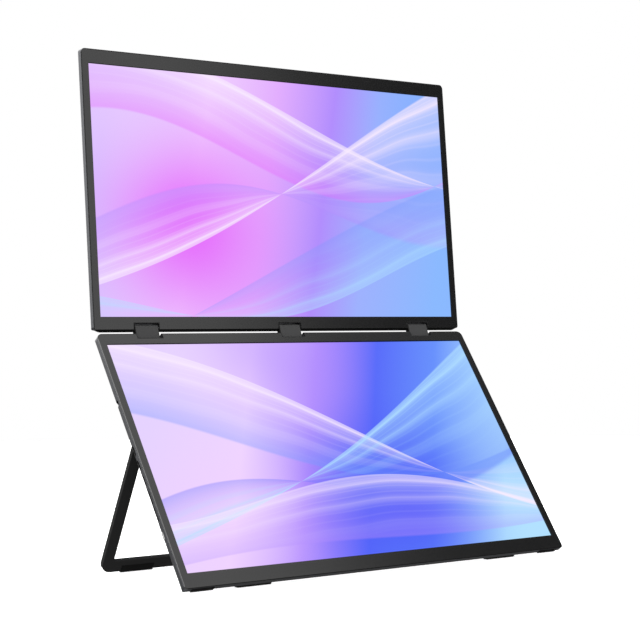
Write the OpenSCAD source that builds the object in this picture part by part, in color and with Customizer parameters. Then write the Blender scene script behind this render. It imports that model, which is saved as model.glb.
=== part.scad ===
// Laptop screen extender: two 15.6 inch displays, stacked on a two-axis hinge,
// with a fold-out U-shaped stand on the back of the lower one.
// Each display is drawn flat in its own frame: x across, y from the front face
// towards the back, z up from its bottom edge. It is then leaned back into place.

/* [Screens] */
// Width of the picture area
active_w = 344.2; // [330:0.1:350]
// Height of the picture area
active_h = 193.6; // [185:0.1:200]
// Bezel at the left and right of the picture
bezel_side = 6.3; // [5:0.1:9]
// Bezel above the upper picture
upper_bezel_top = 11.4; // [9:0.1:15]
// Bezel below the upper picture, beside the hinge
upper_bezel_low = 10; // [9:0.1:15]
// Bezel above the lower picture, beside the hinge
lower_bezel_top = 9.9; // [9:0.1:15]
// Bezel below the lower picture
lower_bezel_low = 12; // [10:0.1:16]

/* [Housings] */
// Thickness of the upper display
upper_t = 6.2; // [5.8:0.1:8]
// Thickness of the lower display at its rim
lower_t = 7.5; // [7.4:0.1:9]
// Corner radius of the lower display beside the hinge
corner_r = 4.6; // [2.1:0.1:10]
// Corner radius at the bottom of the lower display
lower_low_corner_r = 2.4; // [2.1:0.1:6]
// Corner radius of the upper display beside the hinge
upper_low_corner_r = 2.1; // [2.1:0.1:6]
// Corner radius at the top of the upper display
upper_corner_r = 3.5; // [3:0.1:8]
// Rounding of the upper display's back edge
upper_edge_r = 1.6; // [1.3:0.1:2]
// Rounding of the lower display's back edge
lower_edge_r = 3.6; // [2:0.1:3.8]
// Side wall of the covers
side_wall = 1.2; // [1:0.05:1.4]
// Back wall of the covers
back_wall = 1; // [0.8:0.05:1.2]
// Thickness of the front bezels
bezel_t = 0.8; // [0.7:0.05:1]
// Chamfer on the front edge of the bezels
bezel_chamfer = 0.35; // [0.2:0.05:0.5]
// Gap between the picture and the bezel's inner edge
picture_gap = 0.45; // [0.3:0.05:0.8]
// Chamfer on the front edge of the covers, which makes the seam
seam_chamfer = 0.2; // [0.1:0.05:0.3]

/* [Panels] */
// Thickness of the glass
glass_t = 0.8; // [0.6:0.05:0.9]
// Thickness of the backlight
backlight_t = 1.2; // [1:0.05:1.3]
// Glass past the picture at the left and right
glass_side = 2; // [1:0.1:3]
// Glass past the picture towards the hinge
glass_hinge = 3.9; // [2:0.1:4]
// Glass past the picture away from the hinge
glass_free = 3; // [1:0.1:4]
// How far the backlight stays inside the glass
backlight_inset = 1.8; // [1:0.1:3]

/* [Hinge] */
// Width of a hinge link
link_w = 20.6; // [16:0.1:26]
// Radius of a hinge link's round edges
link_r = 2.4; // [2:0.05:2.5]
// Chamfer round the ends of a link
link_chamfer = 0.5; // [0.3:0.05:0.8]
// Distance from the side of the displays to the middle of an outer link
link_inset = 45.2; // [35:0.1:60]
// Gap between a link and the sides of its notch
link_side_gap = 0.7; // [0.4:0.05:1]
// Gap between a link and the floor of its notch in the lower display
link_end_gap = 0.3; // [0.2:0.05:0.5]
// Gap between a link and the floor of its notch in the upper display
link_top_gap = 1; // [0.5:0.05:1.2]
// Gap between a link and the wall behind it in the upper display
link_back_gap = 0.35; // [0.3:0.05:0.5]
// Height of that wall's free edge above the upper pins
wall_above_pin = 1.3; // [1.2:0.05:1.6]
// Radius of the inner corners of a notch
notch_r = 0.8; // [0.4:0.1:1.2]
// Distance of the hinge pins from the edges of the displays
pin_inset = 1.66; // [1.5:0.01:1.9]
// Depth of the upper pins behind the upper display's front
upper_pin_depth = 2.65; // [2.5:0.01:3]
// Depth of the lower pins behind the lower display's front
lower_pin_depth = 4.57; // [4.2:0.01:4.8]
// Gap between the two front faces when the extender is closed
closed_gap = 1.5; // [1.3:0.05:2]
// Radius of the hinge pins
pin_r = 1.2; // [0.9:0.05:1.2]
// Radial clearance of a pin in its link
pin_play = 0.05; // [0.03:0.01:0.08]
// Length of a pin inside its link
pin_in_link = 4; // [3:0.1:6]
// Length of a pin inside its display
pin_in_cover = 4; // [3:0.1:5]
// Radius of the rim strips about the upper pins
rim_r = 3.35; // [2.8:0.05:3.4]
// Length of the slope at the outer ends of the rim strips
rim_slope = 4; // [3:0.1:8]
// Thickness of the metal beside and behind a pin
block_wall = 1; // [0.8:0.1:1.5]
// Thickness of the metal behind a notch's floor in the upper display
upper_block_wall = 0.8; // [0.6:0.1:0.9]

/* [Resting pose] */
// Lean of the lower display from upright
lower_lean = 35.5; // [28:0.1:40]
// Angle that each hinge axis closes from flat
fold_angle = 15.3; // [5:0.1:17]

/* [Rear housing] */
// Distance of the rear housing's top edge below the top edge of the display
hump_drop = 29.9; // [28:0.1:50]
// Gap between the rear housing and the arms of the stand
arm_gap = 0.5; // [0.4:0.05:0.8]
// Corner radius of the rear housing
hump_r = 8; // [4:0.1:12]
// Rounding of the rear housing's back edge
hump_edge_r = 1.6; // [1.2:0.05:1.8]
// Wall of the rear housing
hump_wall = 1.4; // [1.2:0.05:1.6]
// Flange of the back cover that the rear housing sits on
flange = 14; // [12:0.5:18]
// Length of a vent slot
vent_l = 9; // [6:0.5:12]
// Width of a vent slot
vent_w = 1.2; // [1:0.1:1.6]
// Distance from one vent slot to the next
vent_pitch = 4.5; // [3.5:0.1:6]
// Number of vent slots in the top row
vent_count = 21; // [9:2:31]
// Number of slots in front of each speaker
speaker_slots = 9; // [5:2:11]
// Distance of a speaker's middle from the side of the rear housing
speaker_inset = 53; // [48:0.5:80]
// Distance of the vent slots below the top of the rear housing
vent_drop = 26; // [20:0.5:40]

/* [Stand] */
// How far the arms sit inside the sides of the display
stand_inset = 3.1; // [2:0.1:5]
// Width of an arm
arm_w = 8.9; // [8:0.1:9.5]
// Height of the bar that joins the arms
bar_h = 9.5; // [8.5:0.1:12]
// Thickness of the stand
stand_t = 3.5; // [3.2:0.1:4.5]
// Gap between the folded stand and the display
stand_gap = 0.5; // [0.4:0.05:0.8]
// Distance from the pivot to the bottom of the bar
arm_l = 107.6; // [104:0.1:110]
// Radius of the stand's outer corners
stand_r = 8; // [4:0.1:9]
// Radius of the stand's inner corners
stand_inner_r = 1.5; // [1:0.1:6]
// Radius of the pivot pins
pivot_r = 1; // [0.8:0.05:1.1]
// Radial clearance of a pivot pin in its arm
pivot_play = 0.05; // [0.03:0.01:0.08]
// Width of a rubber pad on the bar
pad_w = 28; // [20:0.5:32]
// Distance from the outside of an arm to the middle of a pad
pad_from_end = 31; // [26:0.5:60]
// Rubber of a pad below the bar
pad_drop = 1; // [0.6:0.05:1.2]
// Rubber of a pad in front of the bar
pad_proud = 0.2; // [0.1:0.05:0.25]
// How far a pad reaches up the bar
pad_h = 5; // [4:0.1:8]
// How deep a pad is let into the bar
pad_inset = 0.9; // [0.6:0.05:1.2]

/* [Feet] */
// Distance from the side of the display to the end of the rail
rail_inset = 37.1; // [30:0.1:45]
// Distance from the top of the rail to the top of a rear foot
rail_above_foot = 3.6; // [1:0.1:5]
// Height of the rail's underside above the bottom edge
rail_low = 2.2; // [1.8:0.1:2.5]
// Height of the rail
rail_h = 8.6; // [8:0.1:9.5]
// Gap between the rail and the folded stand
rail_gap = 0.5; // [0.4:0.1:1]
// Radius of the rail's lower edge
rail_r = 3; // [2:0.1:3.2]
// Width of a rear foot
foot_w = 28; // [24:0.5:34]
// Distance from the end of the rail to the middle of a rear foot
foot_from_end = 24.5; // [18:0.5:60]
// Depth of the front edge of a rear foot's sole
sole_front = 8.5; // [8.2:0.1:9]
// Height of the front edge of a rear foot's sole
sole_low = 0.45; // [0.4:0.01:0.8]
// Rubber of a rear foot behind the rail
sole_proud = 0.4; // [0.3:0.05:0.6]
// Width of an outer foot strip
strip_w = 18.5; // [14:0.5:20]
// Distance from the side of the display to the middle of an outer strip
strip_inset = 15.5; // [14:0.1:24]
// Rubber of an outer foot strip below the display
strip_drop = 0.42; // [0.2:0.01:0.6]

/* [Ports] */
// Depth of the ports behind the front face
port_depth = 4.85; // [4.85:0.01:5]
// Height of the audio jack
jack_z = 155.6; // [154:0.1:165]
// Radius of the audio jack's bore
jack_r = 1.8; // [1.75:0.01:1.85]
// Height of the upper USB-C port
usb_z = 114.5; // [113:0.1:125]
// Distance from one USB-C port to the next
usb_pitch = 12.7; // [11:0.1:13]
// Height of the upper mini HDMI port
hdmi_z = 75.1; // [74.5:0.1:77]
// Distance from one mini HDMI port to the next
hdmi_pitch = 14.1; // [13:0.1:15]
// Height of the power button
button_z = 44.6; // [44:0.1:48]
// Length of the power button
button_l = 6; // [5:0.1:7]
// Width of the power button
button_w = 2.2; // [1.6:0.1:2.4]
// Gap round the power button
button_gap = 0.3; // [0.2:0.05:0.4]
// Height of the status light
light_z = 38.4; // [37:0.1:39]

/* [Hidden] */
$fn = 64;

over = 1;                 // how far a cutting shape runs past what it cuts
body_w = active_w + 2 * bezel_side;
lower_h = lower_bezel_low + active_h + lower_bezel_top;
upper_h = upper_bezel_low + active_h + upper_bezel_top;
half_w = body_w / 2;

glass_back = bezel_t + glass_t;
panel_back = glass_back + backlight_t;
upper_inner = upper_t - back_wall;
lower_inner = lower_t - back_wall;

pin_span = upper_pin_depth + lower_pin_depth + closed_gap;
notch_half = link_w / 2 + link_side_gap;
notch_deep = pin_inset + link_r + link_end_gap;
upper_notch_deep = pin_inset + link_r + link_top_gap;
upper_notch_back = upper_pin_depth + link_r + link_back_gap;
block_half = notch_half + pin_in_cover + block_wall;
block_deep = notch_deep + block_wall;
upper_block_deep = upper_notch_deep + upper_block_wall;
link_lean = lower_lean - fold_angle;
upper_lean = link_lean - fold_angle;
link_xs = [link_inset - half_w, 0, half_w - link_inset];

stand_half_w = half_w - stand_inset;
pad_x = stand_half_w - pad_from_end;
hump_w = 2 * (stand_half_w - arm_w - arm_gap);
hump_top = lower_h - hump_drop;
speaker_x = hump_w / 2 - speaker_inset;
rail_half = half_w - rail_inset;
foot_x = rail_half - foot_from_end;
strip_x = half_w - strip_inset;
hump_back = lower_t + stand_gap + stand_t;
pivot_depth = lower_t + stand_gap + stand_t / 2;
pad_reach = arm_l + pad_drop;
rail_top = rail_low + rail_h;
// The folded stand lies just above the rail
pivot_h = rail_top + rail_gap + pad_reach;
pad_face = stand_t / 2 + pad_proud;
bar_gap = 1.5;
hump_low = pivot_h - arm_l + bar_h + bar_gap;
hump_h = hump_top - hump_low;

// Height of the front-bottom edge over the surface that the soles stand on
front_lift = sole_front * sin(lower_lean) - sole_low * cos(lower_lean);
// Points of the resting pose as [y, z], before the whole model is centred
function lower_point(y, z) = [
    y * cos(lower_lean) + z * sin(lower_lean),
    z * cos(lower_lean) - y * sin(lower_lean) + front_lift
];
lower_pin = lower_point(lower_pin_depth, lower_h - pin_inset);
upper_pin = lower_pin + pin_span * [sin(link_lean), cos(link_lean)];
pivot = lower_point(pivot_depth, pivot_h);
pad_radius = sqrt(pad_reach * pad_reach + pad_face * pad_face);
stand_turn = atan(pad_face / pad_reach) + acos(pivot[1] / pad_radius);

front_y = bezel_chamfer * sin(lower_lean);
back_y = upper_pin[0] + (upper_t - upper_edge_r - upper_pin_depth) * cos(upper_lean)
    + (upper_h - upper_edge_r - pin_inset) * sin(upper_lean) + upper_edge_r;
middle_y = (front_y + back_y) / 2;

shell_in = 1.1;           // how far the port shells sit inside the side face
port_x = shell_in - half_w;
usb_w = 8.94;
usb_t = 3.26;
hdmi_w = 10.4;
hdmi_t = 3.2;
hdmi_cut = 0.9;
shell_l = 7.3;
shell_wall = 0.3;
port_gap = 0.15;
board_edge = port_x + shell_l + 0.2;
board_t = 0.8;
board_margin = 4;         // from a board's edge to its screws
jack_body_l = 14;
jack_wall = 0.25;
jack_mouth_r = 2.6;
jack_lip_r = 2.4;
jack_lip_l = 1.8;
jack_in = 2.4;
jack_end = 0.4;
light_in = 0.15;
button_in = 0.1;          // how far the button's cap sits inside the side face
button_travel = 0.5;
button_rim = 0.4;
button_rim_t = 0.8;
button_stop = side_wall + 0.3;
button_stem = 1;
usb_zs = [for (i = [0:2]) usb_z - i * usb_pitch];
hdmi_zs = [for (i = [0:1]) hdmi_z - i * hdmi_pitch];

screw_r = 1;
screw_head_r = 1.8;
screw_head_t = 0.7;
flat_head_t = 0.5;        // head of the short screws beside the panels
screw_boss_r = 2.6;
screw_boss_l = 2;
screw_tip = 0.5;          // room past the end of a screw
hump_margin = 8;
hump_screw_x = hump_w / 2 - hump_margin;
hump_screw_low = hump_low + hump_margin;
hump_screw_high = hump_top - hump_margin;
hump_screws = [
    [-hump_screw_x, hump_screw_low], [hump_screw_x, hump_screw_low],
    [-hump_screw_x, hump_screw_high], [hump_screw_x, hump_screw_high],
    [0, hump_screw_high], [0, hump_screw_low]
];

// ---------------------------------------------------------------- placing

module in_lower() {
    translate([0, -middle_y, front_lift]) rotate([-lower_lean, 0, 0]) children();
}

module in_link() {
    translate([0, lower_pin[0] - middle_y, lower_pin[1]]) rotate([-link_lean, 0, 0]) children();
}

module in_upper() {
    translate([0, upper_pin[0] - middle_y, upper_pin[1]]) rotate([-upper_lean, 0, 0])
        translate([0, -upper_pin_depth, -pin_inset]) children();
}

module in_stand() {
    translate([0, pivot[0] - middle_y, pivot[1]]) rotate([stand_turn, 0, 0]) children();
}

// ---------------------------------------------------------------- shared shapes

// An outline in x and z, made solid from depth y0 to depth y1
module slab(y0, y1) {
    translate([0, y1, 0]) rotate([90, 0, 0]) linear_extrude(y1 - y0) children();
}

// An outline in y and z, made solid from x0 to x1
module run_x(x0, x1) {
    translate([x0, 0, 0]) rotate([90, 0, 90]) linear_extrude(x1 - x0) children();
}

// A plate's cross-section: w wide, from y0 to y1, chamfered in front and rounded behind
module plate_section(w, y0, y1, front, back) {
    polygon([
        [front - w / 2, y0], [w / 2 - front, y0],
        [w / 2, y0 + front], [w / 2, y1 - back], [-w / 2, y1 - back], [-w / 2, y0 + front]
    ]);
    translate([back - w / 2, y0 + front]) square([w - 2 * back, y1 - y0 - front]);
    if (back > 0) {
        for (side = [-1, 1]) translate([side * (w / 2 - back), y1 - back]) circle(r = back);
    }
}

// The same cross-section seen from the side, standing on z = 0
module side_section(h, y0, y1, front, back) {
    translate([0, h / 2]) mirror([1, -1]) plate_section(h, y0, y1, front, back);
}

module corner_puck(r, y0, y1, front, back) {
    rotate([-90, 0, 0]) rotate_extrude() intersection() {
        plate_section(2 * r, y0, y1, front, back);
        translate([0, y0]) square([r, y1 - y0]);
    }
}

// A flat panel: w by h, from depth y0 to y1, with its own radii at the low and top corners
module plate(w, h, y0, y1, low_r, top_r, front) {
    run_x(low_r - w / 2, w / 2 - low_r) intersection() {
        side_section(h, y0, y1, front, 0);
        translate([y0, 0]) square([y1 - y0, h / 2]);
    }
    run_x(top_r - w / 2, w / 2 - top_r) intersection() {
        side_section(h, y0, y1, front, 0);
        translate([y0, h / 2]) square([y1 - y0, h / 2]);
    }
    translate([0, 0, low_r]) linear_extrude(h - low_r - top_r) plate_section(w, y0, y1, front, 0);
    for (side = [-1, 1]) {
        translate([side * (w / 2 - low_r), 0, low_r]) corner_puck(low_r, y0, y1, front, 0);
        translate([side * (w / 2 - top_r), 0, h - top_r]) corner_puck(top_r, y0, y1, front, 0);
    }
}

// A housing: a panel whose back edges are rounded, with the roundings mitred at the corners
module housing(w, h, y0, y1, low_r, top_r, front, back) {
    intersection() {
        plate(w, h, y0, y1, low_r, top_r, front);
        run_x(-w / 2, w / 2) side_section(h, y0 - over, y1, 0, back);
        linear_extrude(h) plate_section(w, y0 - over, y1, 0, back);
    }
}

// A rectangle with cut corners
module chamfered(w, h, cut) {
    polygon([
        [cut - w / 2, -h / 2], [w / 2 - cut, -h / 2], [w / 2, cut - h / 2], [w / 2, h / 2 - cut],
        [w / 2 - cut, h / 2], [cut - w / 2, h / 2], [-w / 2, h / 2 - cut], [-w / 2, cut - h / 2]
    ]);
}

// A slot with round ends, standing along z
module slot_outline(w, l) {
    translate([-w / 2, (w - l) / 2]) square([w, l - w]);
    for (end = [-1, 1]) translate([0, end * (l - w) / 2]) circle(d = w);
}

// A screw along y with its flat head ending at depth y and its shank running towards dir
module screw(y, l, dir) {
    rotate([-90, 0, 0]) {
        translate([0, 0, dir > 0 ? y : y - screw_head_t]) difference() {
            cylinder(r = screw_head_r, h = screw_head_t);
            translate([0, 0, dir > 0 ? -over : screw_head_t / 2])
                cylinder(r = screw_r / 2, h = screw_head_t / 2 + over, $fn = 6);
        }
        translate([0, 0, dir > 0 ? y + screw_head_t : y - screw_head_t - l])
            cylinder(r = screw_r, h = l);
    }
}

module bore_y(y0, y1, r) {
    translate([0, y0, 0]) rotate([-90, 0, 0]) cylinder(r = r, h = y1 - y0);
}

module bore_x(x0, x1, r) {
    translate([x0, 0, 0]) rotate([0, 90, 0]) cylinder(r = r, h = x1 - x0);
}

// Notches in a display's hinge edge, which runs along z = 0 and opens upwards, as deep as asked
module hinge_notches(deep, back) {
    slab(-over, back) for (x = link_xs) translate([x, 0]) {
        translate([-notch_half, notch_r - deep]) square([2 * notch_half, deep - notch_r + over]);
        translate([notch_r - notch_half, -deep]) square([2 * (notch_half - notch_r), deep]);
        for (side = [-1, 1]) translate([side * (notch_half - notch_r), notch_r - deep])
            circle(r = notch_r);
    }
}

// Metal that closes the notches inside a cover and holds the pins
module hinge_blocks(deep, y1) {
    for (x = link_xs) translate([x - block_half, bezel_t, -deep])
        cube([2 * block_half, y1 - bezel_t, deep]);
}

module hinge_pin_holes(depth) {
    for (x = link_xs) for (side = [-1, 1])
        translate([x + side * (notch_half + pin_in_cover / 2), depth, -pin_inset])
            bore_x(-pin_in_cover / 2 - link_side_gap, pin_in_cover / 2, pin_r);
}

module hinge_pins(depth) {
    pin_l = pin_in_link + link_side_gap + pin_in_cover;
    for (x = link_xs) for (side = [-1, 1])
        translate([x + side * (link_w / 2 - pin_in_link + pin_l / 2), depth, -pin_inset])
            bore_x(-pin_l / 2, pin_l / 2, pin_r);
}

plate_l = 2 * block_half;
plate_deep = 9;
plate_t = 0.8;
plate_screw_x = 10;

// Steel plates that spread the load of the pins over the back wall
module hinge_plates(deep, inner) {
    for (x = link_xs) difference() {
        translate([x - plate_l / 2, inner - plate_t, -deep - plate_deep])
            cube([plate_l, plate_t, plate_deep]);
        for (side = [-1, 1])
            translate([x + side * plate_screw_x, 0, -deep - plate_deep / 2])
                bore_y(inner - plate_t - over, inner + over, screw_r);
    }
}

module hinge_plate_screws(deep, inner) {
    for (x = link_xs) for (side = [-1, 1])
        translate([x + side * plate_screw_x, 0, -deep - plate_deep / 2]) {
            bore_y(inner - plate_t - flat_head_t, inner - plate_t, screw_head_r);
            bore_y(inner - plate_t, inner + plate_screw_in, screw_r);
        }
}

plate_screw_in = 0.6;

module hinge_plate_holes(deep, inner) {
    for (x = link_xs) for (side = [-1, 1])
        translate([x + side * plate_screw_x, 0, -deep - plate_deep / 2])
            bore_y(inner - over, inner + plate_screw_in, screw_r);
}

// ---------------------------------------------------------------- both displays

module front_bezel(h, low, low_r, top_r) {
    difference() {
        plate(body_w, h, 0, bezel_t, low_r, top_r, bezel_chamfer);
        translate([-active_w / 2 - picture_gap, -over, low - picture_gap])
            cube([active_w + 2 * picture_gap, bezel_t + 2 * over, active_h + 2 * picture_gap]);
    }
}

module glass(low, hinge_up) {
    below = hinge_up ? glass_free : glass_hinge;
    above = hinge_up ? glass_hinge : glass_free;
    translate([-active_w / 2 - glass_side, bezel_t, low - below])
        cube([active_w + 2 * glass_side, glass_t, active_h + below + above]);
}

module backlight(low, hinge_up) {
    below = (hinge_up ? glass_free : glass_hinge) - backlight_inset;
    above = (hinge_up ? glass_hinge : glass_free) - backlight_inset;
    side = glass_side - backlight_inset;
    translate([-active_w / 2 - side, glass_back, low - below])
        cube([active_w + 2 * side, backlight_t, active_h + below + above]);
}

// ---------------------------------------------------------------- lower display

module lower_outer() {
    housing(
        body_w, lower_h, bezel_t, lower_t,
        lower_low_corner_r, corner_r, seam_chamfer, lower_edge_r
    );
}

module lower_cavity() {
    translate([0, 0, side_wall]) housing(
        body_w - 2 * side_wall, lower_h - 2 * side_wall, bezel_t - over, lower_inner,
        lower_low_corner_r - side_wall, corner_r - side_wall, 0, lower_edge_r - side_wall
    );
}

rail_top_r = 0.8;
rail_root_in = 2;

// Section of the rail along the bottom of the back, in y and z
module rail_section() {
    root = lower_t - rail_root_in;
    intersection() {
        union() {
            translate([root, rail_low]) square([hump_back - rail_r - root, rail_top - rail_low]);
            translate([hump_back - rail_r, rail_low + rail_r]) circle(r = rail_r);
            translate([root, rail_low + rail_r])
                square([hump_back - root, rail_top - rail_top_r - rail_low - rail_r]);
            translate([root, rail_low + rail_r])
                square([hump_back - rail_top_r - root, rail_top - rail_low - rail_r]);
            translate([hump_back - rail_top_r, rail_top - rail_top_r]) circle(r = rail_top_r);
        }
        translate([root, rail_low]) square([hump_back - root, rail_top - rail_low]);
    }
}

strip_front = 1.8;
strip_back = 5.6;
strip_in = 0.9;
strip_floor = 0.9;

// Blocks inside the bottom wall that the outer foot strips are let into
module strip_blocks() {
    for (side = [-1, 1])
        translate([side * strip_x - strip_w / 2 - side_wall, bezel_t, 0])
            cube([strip_w + 2 * side_wall, lower_inner - bezel_t, strip_in + strip_floor]);
}

module strip_pockets() {
    for (side = [-1, 1]) translate([side * strip_x - strip_w / 2, strip_front, -over])
        cube([strip_w, strip_back - strip_front, strip_in + over]);
}

module usb_outline(grow) {
    hull_w = usb_t + 2 * grow;
    slot_outline(hull_w, usb_w + 2 * grow);
}

// A mini HDMI mouth, flat in front and with cut corners behind
module hdmi_outline(grow) {
    t = hdmi_t / 2 + grow;
    l = hdmi_w / 2 + grow;
    polygon([[-t, -l], [t - hdmi_cut, -l], [t, hdmi_cut - l], [t, l - hdmi_cut], [t - hdmi_cut, l], [-t, l]]);
}

// A port's outline with x as depth and y as height, run along x through the side
module port_run(x0, x1, z) {
    translate([0, port_depth, z]) run_x(x0, x1) children();
}

module port_holes() {
    x0 = -half_w - over;
    x1 = lower_edge_r - half_w;
    for (z = usb_zs) port_run(x0, x1, z) usb_outline(port_gap);
    for (z = hdmi_zs) port_run(x0, x1, z) hdmi_outline(port_gap);
    translate([-half_w, port_depth, jack_z]) {
        bore_x(-over, jack_in, jack_mouth_r);
        bore_x(0, jack_in + jack_lip_l, jack_lip_r);
        bore_x(0, jack_in + jack_body_l, jack_r + jack_wall);
    }
    translate([0, port_depth, light_z]) bore_x(x0, x1, light_r);
    port_run(x0, x1, button_z) slot_outline(button_w + 2 * button_gap, button_l + 2 * button_gap);
    port_run(button_stop - button_gap - half_w, x1, button_z) slot_outline(
        button_w + 2 * (button_rim + button_gap), button_l + 2 * (button_rim + button_gap)
    );
}

light_r = 0.7;
window_half = hump_w / 2 - flange;
window_low = hump_low + flange;
window_high = hump_top - flange;
board_post_r = 2;
port_board_w = 17;
port_board_past_light = 2;
port_board_gap = 0.3;
port_board_low = light_z - port_board_past_light;
port_board_high = jack_z - jack_mouth_r - port_board_gap;
port_screw_in = 22;
port_screw_l = 1.2;
port_board_screws_z = [port_board_low + port_screw_in, port_board_high - port_screw_in];
port_screw_x = board_edge + port_board_w - board_margin;
port_board_y = port_depth - board_t / 2;

module lower_back_cover() {
    color("#3c3d40") in_lower() difference() {
        union() {
            difference() {
                lower_outer();
                lower_cavity();
            }
            intersection() {
                lower_outer();
                union() {
                    translate([0, 0, lower_h]) hinge_blocks(block_deep, lower_t);
                    strip_blocks();
                }
            }
            run_x(-rail_half, rail_half) rail_section();
            for (p = hump_screws) translate([p[0], 0, p[1]])
                bore_y(lower_inner - screw_boss_l, lower_inner, screw_boss_r);
            for (z = port_board_screws_z) translate([port_screw_x, 0, z])
                bore_y(port_board_y + board_t, lower_inner, board_post_r);
        }
        translate([0, 0, lower_h]) hinge_notches(notch_deep, lower_t + over);
        translate([0, 0, lower_h]) hinge_pin_holes(lower_pin_depth);
        translate([0, 0, lower_h]) hinge_plate_holes(block_deep, lower_inner);
        strip_pockets();
        port_holes();
        translate([-window_half, lower_inner - over, window_low])
            cube([2 * window_half, lower_t - lower_inner + 2 * over, window_high - window_low]);
        for (p = hump_screws) translate([p[0], 0, p[1]])
            bore_y(lower_inner - screw_boss_l - over, lower_t + over, screw_r);
        for (z = port_board_screws_z) translate([port_screw_x, 0, z])
            bore_y(port_board_y, lower_inner, screw_r);
    }
}

module lower_front_bezel() {
    color("#4b4b4d") in_lower() difference() {
        front_bezel(lower_h, lower_bezel_low, lower_low_corner_r, corner_r);
        translate([0, 0, lower_h]) hinge_notches(notch_deep, bezel_t + over);
    }
}

module lower_lcd_glass() {
    color("#9fa8ef") in_lower() glass(lower_bezel_low, true);
}

module lower_backlight() {
    color("#d9dadd") in_lower() backlight(lower_bezel_low, true);
}

// ---------------------------------------------------------------- rear housing

scoop_r = 13;
scoop_deep = 1.6;
scoop_out = 8;
vent_z = hump_top - vent_drop;
speaker_rise = 10;
speaker_z = hump_low + flange + speaker_rise;
speaker_w = 58;
speaker_h = 16;
speaker_t = 3.2;
hump_inner = hump_back - hump_wall;
hump_inner_edge_r = 0.6;
board_back = lower_inner - 0.5;
board_w = 150;
board_h = 72;
board_low = 72;
board_screws = [
    for (x = [-1, 1]) for (z = [board_margin, board_h - board_margin])
        [x * (board_w / 2 - board_margin), board_low + z]
];
board_screw_l = 2.5;

module vent_row(count, pitch) {
    for (i = [0:count - 1]) translate([(i - (count - 1) / 2) * pitch, 0])
        slot_outline(vent_w, vent_l);
}

module electronics_cover() {
    color("#3a3b3d") in_lower() difference() {
        union() {
            difference() {
                translate([0, 0, hump_low])
                    housing(hump_w, hump_h, lower_t, hump_back, hump_r, hump_r, 0, hump_edge_r);
                translate([0, 0, hump_low + hump_wall]) housing(
                    hump_w - 2 * hump_wall, hump_h - 2 * hump_wall, lower_t - over, hump_inner,
                    hump_r - hump_wall, hump_r - hump_wall, 0, hump_inner_edge_r
                );
            }
            for (side = [-1, 1]) translate([side * (hump_w / 2 - pivot_boss / 2 - hump_wall / 2), 0, pivot_h])
                translate([-pivot_boss / 2, lower_t, -pivot_boss / 2])
                    cube([pivot_boss, hump_inner - lower_t, pivot_boss]);
            for (p = hump_screws) translate([p[0], 0, p[1]])
                bore_y(lower_t, hump_inner, screw_boss_r);
            for (p = board_screws) translate([p[0], 0, p[1]])
                bore_y(board_back, hump_inner, board_post_r);
            scoop_wall();
        }
        for (side = [-1, 1]) translate([side * hump_w / 2, pivot_depth, pivot_h])
            bore_x(-pivot_in, pivot_in, pivot_r);
        for (p = hump_screws) translate([p[0], 0, p[1]]) {
            bore_y(lower_t - over, hump_back + over, screw_r);
            bore_y(hump_back - screw_head_t, hump_back + over, screw_head_r);
        }
        for (p = board_screws) translate([p[0], 0, p[1]])
            bore_y(board_back - over, board_back + board_screw_l + screw_tip, screw_r);
        translate([0, 0, vent_z]) slab(hump_inner - over, hump_back + over)
            vent_row(vent_count, vent_pitch);
        for (side = [-1, 1]) translate([side * speaker_x, 0, speaker_z])
            slab(hump_inner - over, hump_back + over) vent_row(speaker_slots, vent_pitch);
        translate([0, 0, hump_low - scoop_out]) bore_y(hump_back - scoop_deep, hump_back + over, scoop_r);
    }
}

pivot_boss = 9;
pivot_in = 7;
pivot_out = 7;
pivot_hole_l = pivot_out + 0.2;

// Wall behind the finger scoop, so that the scoop doesn't break into the housing
module scoop_wall() {
    intersection() {
        translate([0, 0, hump_low - scoop_out])
            bore_y(hump_back - scoop_deep - hump_wall, hump_inner, scoop_r + hump_wall);
        translate([-hump_w / 4, lower_t, hump_low]) cube([hump_w / 2, hump_back - lower_t, hump_h / 4]);
    }
}

module electronics_cover_screws() {
    color("#1d1d1f") in_lower() for (p = hump_screws) translate([p[0], 0, p[1]])
        screw(hump_back, hump_back - screw_head_t - lower_inner + screw_boss_l - screw_tip, -1);
}

module main_board() {
    color("#1f5a3a") in_lower() difference() {
        translate([-board_w / 2, board_back - board_t, board_low]) cube([board_w, board_t, board_h]);
        for (p = board_screws) translate([p[0], 0, p[1]])
            bore_y(board_back - board_t - over, board_back + over, screw_r);
    }
}

// Packages on the back of the main board, set along its middle
chip_t = 1.2;
chip_sizes = [12, 22, 14, 10, 16];
chip_pitch = 27;

// A square chip centred at x, z on the face at depth y
module chip(x, y, z, size, t) {
    translate([x - size / 2, y, z - size / 2]) cube([size, t, size]);
}

module main_board_chips() {
    color("#26272a") in_lower() for (i = [0:len(chip_sizes) - 1])
        chip((i - 2) * chip_pitch, board_back, board_low + board_h / 2, chip_sizes[i], chip_t);
}

module main_board_screws() {
    color("#b8b9bc") in_lower() for (p = board_screws) translate([p[0], 0, p[1]])
        screw(board_back - board_t - screw_head_t, board_t + board_screw_l, 1);
}

module speaker(side) {
    translate([side * speaker_x - speaker_w / 2, hump_inner - speaker_t, speaker_z - speaker_h / 2])
        cube([speaker_w, speaker_t, speaker_h]);
}

module speaker_left() {
    color("#1a1a1c") in_lower() speaker(-1);
}

module speaker_right() {
    color("#1a1a1c") in_lower() speaker(1);
}

// ---------------------------------------------------------------- ports

module port_board() {
    color("#1f5a3a") in_lower() difference() {
        translate([board_edge, port_board_y, port_board_low])
            cube([port_board_w, board_t, port_board_high - port_board_low]);
        for (z = port_board_screws_z) translate([port_screw_x, 0, z])
            bore_y(port_board_y - over, port_board_y + board_t + over, screw_r);
    }
}

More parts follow.
